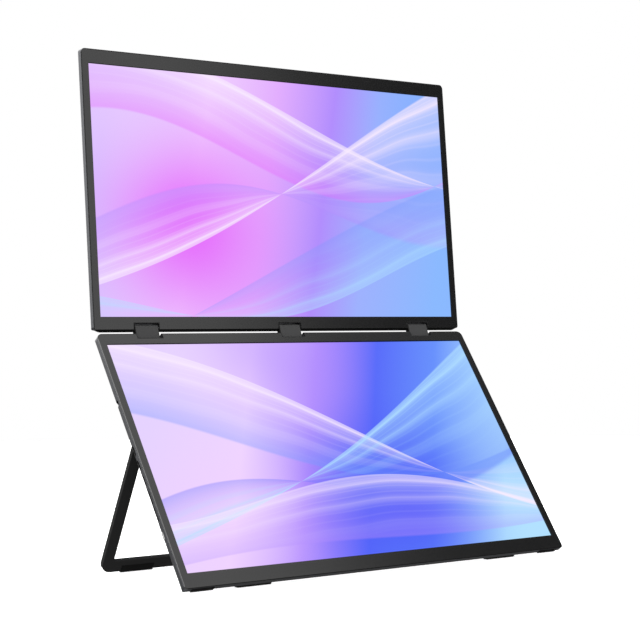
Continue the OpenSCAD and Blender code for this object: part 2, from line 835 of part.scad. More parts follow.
module port_board_screws() {
    color("#b8b9bc") in_lower() for (z = port_board_screws_z) translate([port_screw_x, 0, z])
        screw(port_board_y - screw_head_t, board_t + port_screw_l, 1);
}

module usb_c_shells() {
    color("#c4c5c8") in_lower() for (z = usb_zs) difference() {
        port_run(port_x, port_x + shell_l, z) usb_outline(0);
        port_run(port_x - over, port_x + shell_l - shell_wall, z) usb_outline(-shell_wall);
    }
}

tongue_in = 1;
tongue_t = 0.7;
usb_tongue_w = 6.7;
hdmi_tongue_w = 7.8;

// The contact tongue in the middle of a port's mouth
module tongue(z, w) {
    translate([port_x + tongue_in, port_depth - tongue_t / 2, z - w / 2])
        cube([shell_l - shell_wall - tongue_in, tongue_t, w]);
}

module usb_c_tongues() {
    color("#161617") in_lower() for (z = usb_zs)
        tongue(z, usb_tongue_w);
}

module mini_hdmi_shells() {
    color("#c4c5c8") in_lower() for (z = hdmi_zs) difference() {
        port_run(port_x, port_x + shell_l, z) hdmi_outline(0);
        port_run(port_x - over, port_x + shell_l - shell_wall, z) hdmi_outline(-shell_wall);
    }
}

module mini_hdmi_tongues() {
    color("#161617") in_lower() for (z = hdmi_zs)
        tongue(z, hdmi_tongue_w);
}

module audio_jack() {
    color("#111112") in_lower() translate([jack_in - half_w, port_depth, jack_z]) difference() {
        union() {
            bore_x(0, jack_lip_l, jack_lip_r);
            bore_x(0, jack_body_l, jack_r + jack_wall);
        }
        bore_x(-over, jack_body_l - jack_end, jack_r);
    }
}

module status_light() {
    color("#e8f4ff") in_lower() translate([0, port_depth, light_z])
        bore_x(light_in - half_w, board_edge, light_r);
}

// A cap with a rim that keeps it behind the wall and a stem that presses the switch
module power_button() {
    color("#77787b") in_lower() {
        port_run(button_in - half_w, button_stop - half_w, button_z) slot_outline(button_w, button_l);
        port_run(button_stop - half_w, button_stop + button_rim_t - half_w, button_z)
            slot_outline(button_w + 2 * button_rim, button_l + 2 * button_rim);
        port_run(button_stop + button_rim_t - half_w, switch_x - button_travel - 0.1, button_z)
            slot_outline(button_stem, 3 * button_stem);
    }
}

switch_l = 3.4;
switch_t = 2;
switch_w = 4.8;
switch_x = board_edge - switch_l;

module power_switch() {
    color("#909194") in_lower()
        translate([switch_x, port_depth - switch_t / 2, button_z - switch_w / 2])
            cube([switch_l, switch_t, switch_w]);
}

// ---------------------------------------------------------------- hinge hardware

module lower_hinge_pins() {
    color("#8b8c90") in_lower() translate([0, 0, lower_h]) hinge_pins(lower_pin_depth);
}

module lower_hinge_plates() {
    color("#9a9ba0") in_lower() translate([0, 0, lower_h]) hinge_plates(block_deep, lower_inner);
}

module lower_hinge_screws() {
    color("#b8b9bc") in_lower() translate([0, 0, lower_h]) hinge_plate_screws(block_deep, lower_inner);
}

// A link: a bar with round edges that turns on the lower pins and carries the upper ones
module hinge_link(x) {
    color("#3a3b3d") in_link() translate([x, 0, 0]) difference() {
        intersection() {
            run_x(-link_w / 2, link_w / 2) {
                translate([-link_r, 0]) square([2 * link_r, pin_span]);
                for (z = [0, pin_span]) translate([0, z]) circle(r = link_r);
            }
            slab(-link_r, link_r) translate([0, pin_span / 2])
                chamfered(link_w, pin_span + 2 * link_r, link_chamfer);
            translate([0, 0, -link_r]) linear_extrude(pin_span + 2 * link_r)
                chamfered(link_w, 2 * link_r, link_chamfer);
        }
        for (z = [0, pin_span]) translate([0, 0, z])
            bore_x(-link_w / 2 - over, link_w / 2 + over, pin_r + pin_play);
    }
}

module hinge_link_left() {
    hinge_link(link_xs[0]);
}

module hinge_link_centre() {
    hinge_link(link_xs[1]);
}

module hinge_link_right() {
    hinge_link(link_xs[2]);
}

// ---------------------------------------------------------------- upper display

// Turns a hinge edge that opens upwards into the upper display's, which opens downwards
module at_low_edge() {
    mirror([0, 0, 1]) children();
}

module upper_outer() {
    housing(
        body_w, upper_h, bezel_t, upper_t,
        upper_low_corner_r, upper_corner_r, seam_chamfer, upper_edge_r
    );
}

driver_chip = 9;
driver_chip_t = 0.6;
driver_chip_pitch = 24;
driver_w = 96;
driver_h = 22;
driver_low = 34;
driver_back = upper_inner - 0.8;
driver_screws = [for (x = [-1, 1]) [x * (driver_w / 2 - board_margin), driver_low + driver_h / 2]];

module upper_back_cover() {
    color("#3c3d40") in_upper() difference() {
        union() {
            difference() {
                upper_outer();
                translate([0, 0, side_wall]) housing(
                    body_w - 2 * side_wall, upper_h - 2 * side_wall, bezel_t - over, upper_inner,
                    upper_low_corner_r - side_wall, upper_corner_r - side_wall,
                    0, upper_edge_r - side_wall
                );
            }
            intersection() {
                upper_outer();
                at_low_edge() hinge_blocks(upper_block_deep, upper_t);
            }
            for (p = driver_screws) translate([p[0], 0, p[1]])
                bore_y(driver_back, upper_inner, board_post_r);
        }
        at_low_edge() hinge_notches(upper_notch_deep, upper_notch_back);
        at_low_edge() hinge_notches(pin_inset + wall_above_pin, upper_t + over);
        at_low_edge() hinge_pin_holes(upper_pin_depth);
        at_low_edge() hinge_plate_holes(upper_block_deep, upper_inner);
        for (p = driver_screws) translate([p[0], 0, p[1]])
            bore_y(driver_back - over, upper_inner, screw_r);
    }
}

module upper_front_bezel() {
    color("#4b4b4d") in_upper() difference() {
        front_bezel(upper_h, upper_bezel_low, upper_low_corner_r, upper_corner_r);
        at_low_edge() hinge_notches(upper_notch_deep, bezel_t + over);
    }
}

// Strips along the hinge edge, round about the pins, with sloping outer ends
module upper_hinge_rim() {
    rim_low = rim_r - pin_inset;
    rim_half = half_w - upper_low_corner_r;
    rim_front = bezel_t + seam_chamfer;
    color("#0c0c0d") in_upper() difference() {
        intersection() {
            run_x(-rim_half, rim_half) intersection() {
                translate([upper_pin_depth, pin_inset]) circle(r = rim_r);
                translate([rim_front, -rim_r]) square([upper_t - upper_edge_r - rim_front, rim_r]);
            }
            slab(0, upper_t) polygon([
                [-rim_half, 0], [rim_half, 0], [rim_half - rim_slope, -rim_low], [rim_slope - rim_half, -rim_low]
            ]);
        }
        for (x = link_xs) translate([x - notch_half, -over, -rim_r])
            cube([2 * notch_half, upper_t, rim_r + over]);
    }
}

module upper_lcd_glass() {
    color("#b9b4f2") in_upper() glass(upper_bezel_low, false);
}

module upper_backlight() {
    color("#d9dadd") in_upper() backlight(upper_bezel_low, false);
}

module upper_driver_board() {
    color("#1f5a3a") in_upper() difference() {
        translate([-driver_w / 2, driver_back - board_t, driver_low]) cube([driver_w, board_t, driver_h]);
        for (p = driver_screws) translate([p[0], 0, p[1]])
            bore_y(driver_back - board_t - over, driver_back + over, screw_r);
    }
}

module upper_driver_chips() {
    color("#26272a") in_upper() for (i = [-1:1])
        chip(i * driver_chip_pitch, driver_back, driver_low + driver_h / 2, driver_chip, driver_chip_t);
}

module upper_board_screws() {
    color("#b8b9bc") in_upper() for (p = driver_screws) translate([p[0], 0, p[1]]) {
        bore_y(driver_back - board_t - flat_head_t, driver_back - board_t, screw_head_r);
        bore_y(driver_back - board_t, upper_inner, screw_r);
    }
}

module upper_hinge_pins() {
    color("#8b8c90") in_upper() at_low_edge() hinge_pins(upper_pin_depth);
}

module upper_hinge_plates() {
    color("#9a9ba0") in_upper() at_low_edge() hinge_plates(upper_block_deep, upper_inner);
}

module upper_hinge_screws() {
    color("#b8b9bc") in_upper() at_low_edge() hinge_plate_screws(upper_block_deep, upper_inner);
}

// ---------------------------------------------------------------- feet

module foot_strip(side) {
    color("#0e0e0f") in_lower()
        translate([side * strip_x - strip_w / 2, strip_front, -strip_drop])
            cube([strip_w, strip_back - strip_front, strip_in + strip_drop]);
}

module front_foot_left() {
    foot_strip(-1);
}

module front_foot_right() {
    foot_strip(1);
}

sole_back = hump_back + sole_proud;
sole_rise = tan(lower_lean) * (sole_back - sole_front);
foot_top = rail_top - rail_above_foot;
toe_l = 1.6;
toe_rise = 0.5;
toe = sole_front - toe_l;

// A rear foot wraps the rail's lower edge; its sole is level when the display leans at rest
module rear_foot(side) {
    color("#232325") in_lower() run_x(side * foot_x - foot_w / 2, side * foot_x + foot_w / 2)
        difference() {
            polygon([
                [toe, sole_low + toe_rise], [sole_front, sole_low], [sole_back, sole_low + sole_rise],
                [sole_back, foot_top], [toe, foot_top]
            ]);
            side_section(lower_h, bezel_t, lower_t, seam_chamfer, lower_edge_r);
            rail_section();
        }
}

module rear_foot_left() {
    rear_foot(-1);
}

module rear_foot_right() {
    rear_foot(1);
}

// ---------------------------------------------------------------- stand

module stand_pivot_pins() {
    color("#8b8c90") in_lower() for (side = [-1, 1])
        translate([side * hump_w / 2, pivot_depth, pivot_h])
            bore_x(side > 0 ? -pivot_in : -pivot_out, side > 0 ? pivot_out : pivot_in, pivot_r);
}

// The stand in its own frame: pivot at the origin, arms down along z
module stand_outline() {
    difference() {
        union() {
            translate([-stand_half_w, stand_r - arm_l]) square([2 * stand_half_w, arm_l + stand_t]);
            translate([stand_r - stand_half_w, -arm_l]) square([2 * (stand_half_w - stand_r), arm_l]);
            for (side = [-1, 1])
                translate([side * (stand_half_w - stand_r), stand_r - arm_l]) circle(r = stand_r);
        }
        window_w = 2 * (stand_half_w - arm_w);
        translate([-window_w / 2, bar_h + stand_inner_r - arm_l]) square([window_w, 2 * arm_l]);
        translate([stand_inner_r - window_w / 2, bar_h - arm_l])
            square([window_w - 2 * stand_inner_r, arm_l]);
        for (side = [-1, 1])
            translate([side * (window_w / 2 - stand_inner_r), bar_h + stand_inner_r - arm_l])
                circle(r = stand_inner_r);
    }
}

module pad_section() {
    translate([-pad_face, -pad_reach]) square([pad_proud + pad_inset, pad_h + pad_drop]);
    translate([-pad_face, -pad_reach]) square([pad_face + stand_t / 2, pad_drop + pad_inset]);
}

module stand_frame() {
    color("#222223") in_stand() difference() {
        intersection() {
            slab(-stand_t / 2, stand_t / 2) stand_outline();
            run_x(-stand_half_w, stand_half_w) {
                translate([-stand_t / 2, -arm_l]) square([stand_t, arm_l]);
                circle(r = stand_t / 2);
            }
        }
        for (side = [-1, 1]) translate([side * (hump_w / 2 + pivot_hole_l / 2), 0, 0])
            bore_x(-pivot_hole_l / 2, pivot_hole_l / 2, pivot_r + pivot_play);
        for (side = [-1, 1]) run_x(side * pad_x - pad_w / 2, side * pad_x + pad_w / 2) pad_section();
    }
}

module stand_pad(side) {
    color("#0e0e0f") in_stand()
        run_x(side * pad_x - pad_w / 2, side * pad_x + pad_w / 2) pad_section();
}

module stand_pad_left() {
    stand_pad(-1);
}

module stand_pad_right() {
    stand_pad(1);
}

lower_front_bezel();
lower_lcd_glass();
lower_backlight();
lower_back_cover();
electronics_cover();
electronics_cover_screws();
main_board();
main_board_chips();
main_board_screws();
port_board();
port_board_screws();
usb_c_shells();
usb_c_tongues();
mini_hdmi_shells();
mini_hdmi_tongues();
audio_jack();
status_light();
power_switch();
power_button();
speaker_left();
speaker_right();
lower_hinge_pins();
lower_hinge_plates();
lower_hinge_screws();
front_foot_left();
front_foot_right();
rear_foot_left();
rear_foot_right();
stand_pivot_pins();
hinge_link_left();
hinge_link_centre();
hinge_link_right();
upper_front_bezel();
upper_lcd_glass();
upper_backlight();
upper_back_cover();
upper_driver_board();
upper_driver_chips();
upper_board_screws();
upper_hinge_pins();
upper_hinge_plates();
upper_hinge_screws();
upper_hinge_rim();
stand_frame();
stand_pad_left();
stand_pad_right();
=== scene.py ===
import math

import bmesh
import bpy
from mathutils import Matrix, Vector


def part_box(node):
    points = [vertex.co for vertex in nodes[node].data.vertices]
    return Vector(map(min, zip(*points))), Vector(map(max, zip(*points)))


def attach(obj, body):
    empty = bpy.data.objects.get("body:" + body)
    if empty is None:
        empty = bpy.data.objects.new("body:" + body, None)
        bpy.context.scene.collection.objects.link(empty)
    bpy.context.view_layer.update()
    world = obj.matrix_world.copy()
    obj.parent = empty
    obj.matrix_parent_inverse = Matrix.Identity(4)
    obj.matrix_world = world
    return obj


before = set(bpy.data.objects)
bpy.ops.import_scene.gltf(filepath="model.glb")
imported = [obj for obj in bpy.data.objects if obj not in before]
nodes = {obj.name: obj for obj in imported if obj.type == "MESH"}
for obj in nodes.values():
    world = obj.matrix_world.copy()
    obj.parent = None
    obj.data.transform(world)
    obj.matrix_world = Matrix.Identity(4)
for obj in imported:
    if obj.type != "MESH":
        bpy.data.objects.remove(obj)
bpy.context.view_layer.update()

# ------------------------------------------------------------------ back covers
# The two back covers are trays of die-cast light alloy, bead blasted and anodised dark grey.
# Blasting leaves a fine even grain, and the anodising is a little cloudy where the metal is thick.


class Wire:
    """An output inside a finish. Arithmetic on it adds the nodes that work it out."""

    def __init__(self, finish, socket):
        self.finish, self.socket = finish, socket

    def _maths(self, operation, *values):
        flat = all(getattr(v, "socket", None) is None or v.socket.type == "VALUE" for v in values)
        kind = "ShaderNodeMath" if flat else "ShaderNodeVectorMath"
        return self.finish.add(kind, {"operation": operation}, dict(enumerate(values)))

    def __add__(self, other):
        return self._maths("ADD", self, other)

    def __radd__(self, other):
        return self._maths("ADD", other, self)

    def __sub__(self, other):
        return self._maths("SUBTRACT", self, other)

    def __rsub__(self, other):
        return self._maths("SUBTRACT", other, self)

    def __mul__(self, other):
        return self._maths("MULTIPLY", self, other)

    def __rmul__(self, other):
        return self._maths("MULTIPLY", other, self)

    def __truediv__(self, other):
        return self._maths("DIVIDE", self, other)

    def __pow__(self, other):
        return self._maths("POWER", self, other)

    def sine(self):
        return self._maths("SINE", self)

    def size(self):
        return self._maths("ABSOLUTE", self)

    def least(self, other):
        return self._maths("MINIMUM", self, other)

    def most(self, other):
        return self._maths("MAXIMUM", self, other)

    def step(self, start, end):
        """0 where the value is below start, 1 above end, eased between. Start may be the larger."""
        return self.finish.add(
            "ShaderNodeMapRange", {"interpolation_type": "SMOOTHSTEP"},
            {"Value": self, "From Min": start, "From Max": end})

    def blend(self, where_0, where_1):
        """One colour where this mask is 0 and another where it is 1."""
        return self.finish.add(
            "ShaderNodeMix", {"data_type": "RGBA"}, {0: self, 6: where_0, 7: where_1}, out=2)

    def part(self, axis):
        return self.finish.add("ShaderNodeSeparateXYZ", {}, {0: self}, out=axis)

    def along(self, direction):
        """How far this place or direction reaches along another."""
        return self.finish.add(
            "ShaderNodeVectorMath", {"operation": "DOT_PRODUCT"}, {0: self, 1: direction},
            out="Value")


class Finish:
    """A material, or the light of the room, put together from nodes."""

    def __init__(self, owner):
        self.owner = owner
        owner.use_nodes = True
        self.tree = owner.node_tree
        self.tree.nodes.clear()

    def add(self, kind, settings, inputs, out=0):
        node = self.tree.nodes.new(kind)
        for name, value in settings.items():
            if name == "stops":
                ramp = node.color_ramp.elements
                while len(ramp) < len(value):
                    ramp.new(0.5)
                for stop, (at, colour) in zip(ramp, value):
                    stop.position, stop.color = at, colour
            else:
                setattr(node, name, value)
        for name, value in inputs.items():
            socket = node.inputs[name]
            if isinstance(value, Wire):
                self.tree.links.new(value.socket, socket)
            elif socket.type in ("VECTOR", "RGBA") and not hasattr(value, "__len__"):
                socket.default_value = [value] * len(socket.default_value)
            else:
                socket.default_value = value
        return Wire(self, node.outputs[out]) if node.outputs else None

    def place(self):
        """Where a point of the piece is at rest, in metres."""
        return self.add("ShaderNodeTexCoord", {}, {}, out="Object")

    def noise(self, where, grain, detail=2.0, stretch=None):
        """Noise from 0 to 1 whose lumps are about grain metres across."""
        if stretch:
            where = where * stretch
        return self.add(
            "ShaderNodeTexNoise", {}, {"Vector": where, "Scale": 1 / grain, "Detail": detail})

    def relief(self, height, depth, strength=1.0):
        return self.add(
            "ShaderNodeBump", {}, {"Height": height, "Distance": depth, "Strength": strength})

    def surface(self, sockets):
        """Ends a material with one shader."""
        shader = self.add("ShaderNodeBsdfPrincipled", {}, sockets)
        self.add("ShaderNodeOutputMaterial", {}, {"Surface": shader})
        return self.owner


def finish(name):
    return Finish(bpy.data.materials.new(name))


def coat(material, *names):
    """Gives CAD pieces their finish."""
    for name in names:
        mesh = nodes[name].data
        mesh.materials.clear()
        mesh.materials.append(material)


def paint(red, green, blue):
    """A colour from its 0 to 255 screen values, as light."""
    return tuple(((v / 255 + 0.055) / 1.055) ** 2.4 for v in (red, green, blue)) + (1.0,)


blasted = finish("blasted_anodised_alloy")
at = blasted.place()
clouds = blasted.noise(at, 0.03)
grain = blasted.noise(at, 0.00022, 3)
pits = blasted.noise(at, 0.0009)
shade = clouds * 0.22 + grain * 0.36 + pits * 0.2
alloy = blasted.surface({
    "Base Color": shade.blend(paint(72, 73, 76), paint(98, 98, 101)),
    "Metallic": 0.85,
    "Roughness": 0.3 + 0.16 * grain,
    "Normal": blasted.relief(grain + 0.4 * pits, 0.00001, 0.5),
})
coat(alloy, "lower_back_cover", "upper_back_cover")

# ------------------------------------------------------------------ hinge hardware
# Ground steel pins pressed into the covers, pressed steel plates behind them, and small steel
# screws. The steel keeps faint marks of its rolling and a few stains.

steel = finish("bright_steel")
at = steel.place()
rolling = steel.noise(at, 0.0004, 3, stretch=(0.05, 1, 1))
stain = steel.noise(at, 0.004)
bright_steel = steel.surface({
    "Base Color": stain.blend((0.42, 0.42, 0.43, 1), (0.58, 0.57, 0.56, 1)),
    "Metallic": 1.0,
    "Roughness": 0.22 + 0.2 * rolling,
    "Normal": steel.relief(rolling, 0.000008, 0.4),
})
coat(bright_steel, "lower_hinge_pins", "upper_hinge_pins", "lower_hinge_plates",
     "upper_hinge_plates", "lower_hinge_screws", "upper_hinge_screws", "stand_pivot_pins",
     "main_board_screws", "port_board_screws", "upper_board_screws")

blacking = finish("blackened_steel")
at = blacking.place()
rub = blacking.noise(at, 0.0006, 3)
black_steel = blacking.surface({
    "Base Color": rub.step(0.55, 0.75).blend((0.02, 0.02, 0.021, 1), (0.07, 0.07, 0.07, 1)),
    "Metallic": 0.9,
    "Roughness": 0.34 + 0.15 * rub,
    "Normal": blacking.relief(rub, 0.00001, 0.4),
})
coat(black_steel, "electronics_cover_screws")

# ------------------------------------------------------------------ circuit boards
# Glass-epoxy boards under green solder mask, with copper tracks showing through it,
# and moulded chip packages soldered on.

mask = finish("solder_mask")
at = mask.place()
tracks = mask.add("ShaderNodeTexBrick", {"offset": 0.37, "squash": 0.6, "squash_frequency": 3}, {
    "Vector": at, "Scale": 180.0, "Mortar Size": 0.06, "Mortar Smooth": 0.2,
    "Brick Width": 0.9, "Row Height": 0.22}, out=1)
weave = mask.noise(at, 0.0005)
board_mask = mask.surface({
    "Base Color": tracks.blend((0.006, 0.07, 0.03, 1), (0.02, 0.16, 0.06, 1)),
    "Roughness": 0.25 + 0.15 * weave,
    "Coat Weight": 0.3,
    "Normal": mask.relief(tracks + 0.2 * weave, 0.00003, 0.5),
})
coat(board_mask, "main_board", "port_board", "upper_driver_board")

package = finish("moulded_package")
at = package.place()
flow = package.noise(at, 0.0003, 3)
chip_case = package.surface({
    "Base Color": flow.blend((0.012, 0.012, 0.013, 1), (0.03, 0.03, 0.032, 1)),
    "Roughness": 0.5 + 0.2 * flow,
    "Normal": package.relief(flow, 0.00001, 0.5),
})
coat(chip_case, "main_board_chips", "upper_driver_chips", "speaker_left", "speaker_right")

# ------------------------------------------------------------------ ports
# Drawn steel shells with a dull nickel plate, each round a black tongue with gilt contacts.
# The jack is one black moulding with two gilt spring rings inside its mouth.

nickel = finish("nickel_plate")
at = nickel.place()
smear = nickel.noise(at, 0.0012, 3)
port_shell = nickel.surface({
    "Base Color": smear.blend((0.16, 0.16, 0.155, 1), (0.26, 0.255, 0.25, 1)),
    "Metallic": 1.0,
    "Roughness": 0.16 + 0.14 * smear,
    "Normal": nickel.relief(smear, 0.00001, 0.3),
})
coat(port_shell, "usb_c_shells", "mini_hdmi_shells", "power_switch")

black = finish("black_moulding")
at = black.place()
skin = black.noise(at, 0.0002, 2)
black_moulding = black.surface({
    "Base Color": skin.blend((0.002, 0.002, 0.002, 1), (0.006, 0.006, 0.006, 1)),
    "Roughness": 0.5 + 0.2 * skin,
    "Specular IOR Level": 0.12,
    "Normal": black.relief(skin, 0.00001, 0.4),
})
coat(black_moulding, "usb_c_tongues", "mini_hdmi_tongues", "audio_jack")


def display_place(bezel):
    """The middle of a display's front bottom edge: x runs across it, y into it and z up it."""
    mesh = nodes[bezel].data
    mesh.calc_loop_triangles()
    front = max((t for t in mesh.loop_triangles if t.normal.y < -0.5), key=lambda t: t.area).normal
    across, inward = Vector((1, 0, 0)), -front
    up = front.cross(across)
    near = min(v.co.dot(inward) for v in mesh.vertices)
    foot = min(v.co.dot(up) for v in mesh.vertices)
    turn = Matrix((across, inward, up)).transposed().to_4x4()
    return Matrix.Translation(inward * near + up * foot) @ turn


lower_place = display_place("lower_front_bezel")
upper_place = display_place("upper_front_bezel")


def block(work, middle, size):
    """Adds a box to the mesh that work is building."""
    box = Matrix.Translation(middle) @ Matrix.Diagonal((*size, 1))
    bmesh.ops.create_cube(work, size=1, matrix=box)


def piece(name, work, place, material, body):
    """Ends a mesh: gives it its place, finish and body."""
    mesh = bpy.data.meshes.new(name)
    work.to_mesh(mesh)
    work.free()
    mesh.transform(place)
    mesh.materials.append(material)
    made = bpy.data.objects.new(name, mesh)
    bpy.context.scene.collection.objects.link(made)
    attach(made, body)


gilt = finish("gilt_contacts")
at = gilt.place()
wear = gilt.noise(at, 0.0004)
gold = gilt.surface({
    "Base Color": wear.blend((0.8, 0.5, 0.18, 1), (0.95, 0.7, 0.34, 1)),
    "Metallic": 1.0,
    "Roughness": 0.18 + 0.12 * wear,
})

# The contacts are shorter than their tongue and sit a little towards its root.
contact_w = 0.00026
contact_proud = 0.00003
contact_short = 0.0012
contact_shift = 0.0003
to_display = lower_place.inverted()
for tongues, count, pitch in (("usb_c_tongues", 12, 0.0005), ("mini_hdmi_tongues", 9, 0.0008)):
    work = bmesh.new()
    corners = [to_display @ v.co for v in nodes[tongues].data.vertices]
    levels = sorted({round(c.z, 5) for c in corners})
    near, far = min(c.x for c in corners), max(c.x for c in corners)
    front, back = min(c.y for c in corners), max(c.y for c in corners)
    size = (far - near - contact_short, back - front + 2 * contact_proud, contact_w)
    for low, high in zip(levels[::2], levels[1::2]):
        for i in range(count):
            z = (low + high) / 2 + (i - (count - 1) / 2) * pitch
            block(work, ((near + far) / 2 + contact_shift, (front + back) / 2, z), size)
    piece(tongues.replace("tongues", "contacts"), work, lower_place, gold,
          "lower_display")

ring_r = 0.00175
ring_wire = 0.00014
ring_wide = 1.6
ring_depths = (0.0016, 0.0042)
ring_steps, wire_steps = 48, 10
lip_l = 0.0003
corners = [to_display @ v.co for v in nodes["audio_jack"].data.vertices]
mouth = min(c.x for c in corners)
lip = [c for c in corners if c.x < mouth + lip_l]
middle = Vector([(min(c[i] for c in lip) + max(c[i] for c in lip)) / 2 for i in range(3)])
inward = Vector((1, 0, 0))
work = bmesh.new()
for ring_depth in ring_depths:
    rounds = []
    for i in range(ring_steps):
        turn = math.tau * i / ring_steps
        out = Vector((0, math.cos(turn), math.sin(turn)))
        core = Vector((mouth + ring_depth, middle.y, middle.z)) + out * ring_r
        rounds.append([])
        for k in range(wire_steps):
            tilt = math.tau * k / wire_steps
            around = out * math.cos(tilt) + inward * ring_wide * math.sin(tilt)
            rounds[-1].append(work.verts.new(core + ring_wire * around))
    for i, this in enumerate(rounds):
        after = rounds[(i + 1) % ring_steps]
        for k in range(wire_steps):
            beside = (k + 1) % wire_steps
            work.faces.new((this[k], this[beside], after[beside], after[k]))
bmesh.ops.recalc_face_normals(work, faces=work.faces[:])
piece("jack_spring_rings", work, lower_place, gold, "lower_display")

# ------------------------------------------------------------------ button and light
# The power button is a turned and brushed alloy cap; the light beside it is a clear moulded pipe
# that glows softly at its end.

brushed = finish("brushed_cap")
at = brushed.place()
strokes = brushed.noise(at, 0.0002, 3, stretch=(1, 0.08, 0.08))
button_cap = brushed.surface({
    "Base Color": strokes.blend((0.5, 0.5, 0.495, 1), (0.62, 0.62, 0.61, 1)),
    "Metallic": 0.35,
    "Roughness": 0.28 + 0.14 * strokes,
    "Normal": brushed.relief(strokes, 0.00001, 0.4),
})
coat(button_cap, "power_button")

pipe = finish("glowing_light_pipe")
at = pipe.place()
haze = pipe.noise(at, 0.0008)
light_pipe = pipe.surface({
    "Base Color": haze.blend((0.35, 0.37, 0.38, 1), (0.5, 0.52, 0.54, 1)),
    "Roughness": 0.25 + 0.2 * haze,
    "Emission Color": haze.blend((0.7, 0.8, 0.85, 1), (0.9, 0.95, 1, 1)),
    "Emission Strength": 0.15,
})
coat(light_pipe, "status_light")

# ------------------------------------------------------------------ panels
# Each panel is a white light guide behind anti-glare glass. The glass is etched very fine, so that
# it takes the room's light without a sharp reflection, and it has a narrow black border.

guide = finish("light_guide")
at = guide.place()
dots = guide.noise(at, 0.0006)
coat(guide.surface({
    "Base Color": dots.blend((0.75, 0.75, 0.77, 1), (0.85, 0.85, 0.86, 1)),
    "Roughness": 0.35 + 0.2 * dots,
}), "lower_backlight", "upper_backlight")

picture_w, picture_h = 0.3442, 0.1936
border_soft = 0.0001
silk_shade, silk_rim, silk_fold, silk_fine = 0.55, 0.7, 0.42, 0.16


def lit_glass(name, place, picture_low, slant, wash, glows, ribbons):
    """Glass over a lit picture: a slanted wash of colour, soft glows, and twisting silk ribbons.

    A glow is its x, y, reach, colour and strength. A ribbon is its two wavy edges, each a low,
    slope, swing, turns and shift, and then its folds, colour, shade and strength. It is shaded
    along the second edge, bright along the first, and has folds between.
    """
    glass = finish(name)
    at = glass.place()
    to_display = place.inverted()
    across = at.part(0) / picture_w + 0.5
    height = (at.along(to_display[2].xyz) + (to_display[2].w - picture_low)) / picture_h
    picture = glass.add(
        "ShaderNodeValToRGB", {"stops": wash}, {"Fac": across + slant * (height - 0.5)})
    for x, y, reach, colour, strength in glows:
        far = (((across - x) * (picture_w / picture_h)) ** 2 + (height - y) ** 2) ** 0.5
        picture = (far.step(reach, 0) * strength).blend(picture, colour)
    drift = glass.noise(at, 0.11, 1)
    for edges, folds, colour, shade, strength in ribbons:
        first, last = (
            low + slope * across + swing * (across * turns + shift).sine()
            for low, slope, swing, turns, shift in edges)
        along = (first - height) / (first - last)
        inside = along.step(-0.004, 0.012) * along.step(1.004, 0.96)
        lift = (1 - along).most(0) ** 4
        wrinkle = along.most(0) ** 0.6 * (math.pi * folds) + 6 * drift
        soft = 0.5 + 0.5 * wrinkle.sine()
        fine = (wrinkle * 3.3).sine().most(0) ** 4
        picture = (inside * along.most(0) ** 2 * strength * silk_shade).blend(picture, shade)
        silk = lift * silk_rim + (soft ** 3 * silk_fold + fine * silk_fine) * (1 - along)
        picture = (inside * silk * strength).blend(picture, colour)
    from_side = (0.5 - (across - 0.5).size()) * picture_w
    from_level = (0.5 - (height - 0.5).size()) * picture_h
    shown = from_side.least(from_level).step(-border_soft, border_soft)
    etch = glass.noise(at, 0.00012)
    return glass.surface({
        "Base Color": (0.004, 0.004, 0.005, 1),
        "Roughness": 0.3 + 0.1 * etch,
        "Specular IOR Level": 0.2,
        "Emission Color": shown.blend((0.002, 0.002, 0.002, 1), picture),
        "Emission Strength": 0.98,
    })


lower_picture_low = 0.012
upper_picture_low = 0.010
lilac = paint(214, 188, 254)
rose = paint(240, 206, 255)
orchid = paint(228, 96, 252)
sky = paint(136, 184, 255)
violet = paint(176, 138, 253)
cobalt = paint(78, 100, 249)
ice = paint(176, 224, 255)
mist = paint(250, 236, 255)
azure = paint(104, 150, 252)

coat(lit_glass(
    "lit_glass_upper", upper_place, upper_picture_low, -0.12,
    [(0, lilac), (0.26, rose), (0.45, paint(226, 172, 254)), (0.62, violet),
     (0.76, paint(156, 176, 254)), (1, sky)],
    [(0.24, 0.36, 0.6, orchid, 0.95), (0.06, 0.92, 0.5, rose, 0.5),
     (0.98, 0.9, 0.5, paint(120, 172, 255), 0.6)],
    [(((1.12, -0.5, 0.05, 5.0, 0.3), (0.62, 0.1, 0.2, 4.2, 1.5)), 7, mist, orchid, 0.85),
     (((0.2, 0.75, 0.1, 3.4, 4.0), (0.36, 0.1, 0.16, 4.4, 0.2)), 8, mist, violet, 0.85),
     (((0.02, 0.2, 0.12, 4.6, 2.6), (-0.1, 0.62, 0.08, 3.0, 5.0)), 6, ice, azure, 0.6)],
), "upper_lcd_glass")
coat(lit_glass(
    "lit_glass_lower", lower_place, lower_picture_low, -0.28,
    [(0, paint(228, 208, 254)), (0.24, paint(238, 210, 255)), (0.42, violet), (0.6, cobalt),
     (0.78, paint(96, 140, 252)), (1, ice)],
    [(0.42, 0.96, 0.5, violet, 0.55), (0.62, 0.2, 0.6, paint(64, 80, 248), 0.85),
     (0.12, 0.2, 0.5, rose, 0.5)],
    [(((0.98, -0.75, 0.09, 4.4, 0.6), (0.55, -0.1, 0.16, 4.0, 2.2)), 7, mist, azure, 0.85),
     (((0.1, 0.85, 0.07, 3.8, 3.0), (0.2, 0.25, 0.13, 4.8, 1.0)), 8, ice, cobalt, 0.85),
     (((0.3, -0.12, 0.12, 4.2, 5.3), (-0.05, 0.2, 0.08, 3.2, 1.4)), 6, mist, violet, 0.65)],
), "lower_lcd_glass")

# ------------------------------------------------------------------ front bezels
# Thin moulded frames in dark grey with a fine spark-eroded texture and a satin sheen,
# clipped over the glass. Handling leaves faint lighter rubs on them.

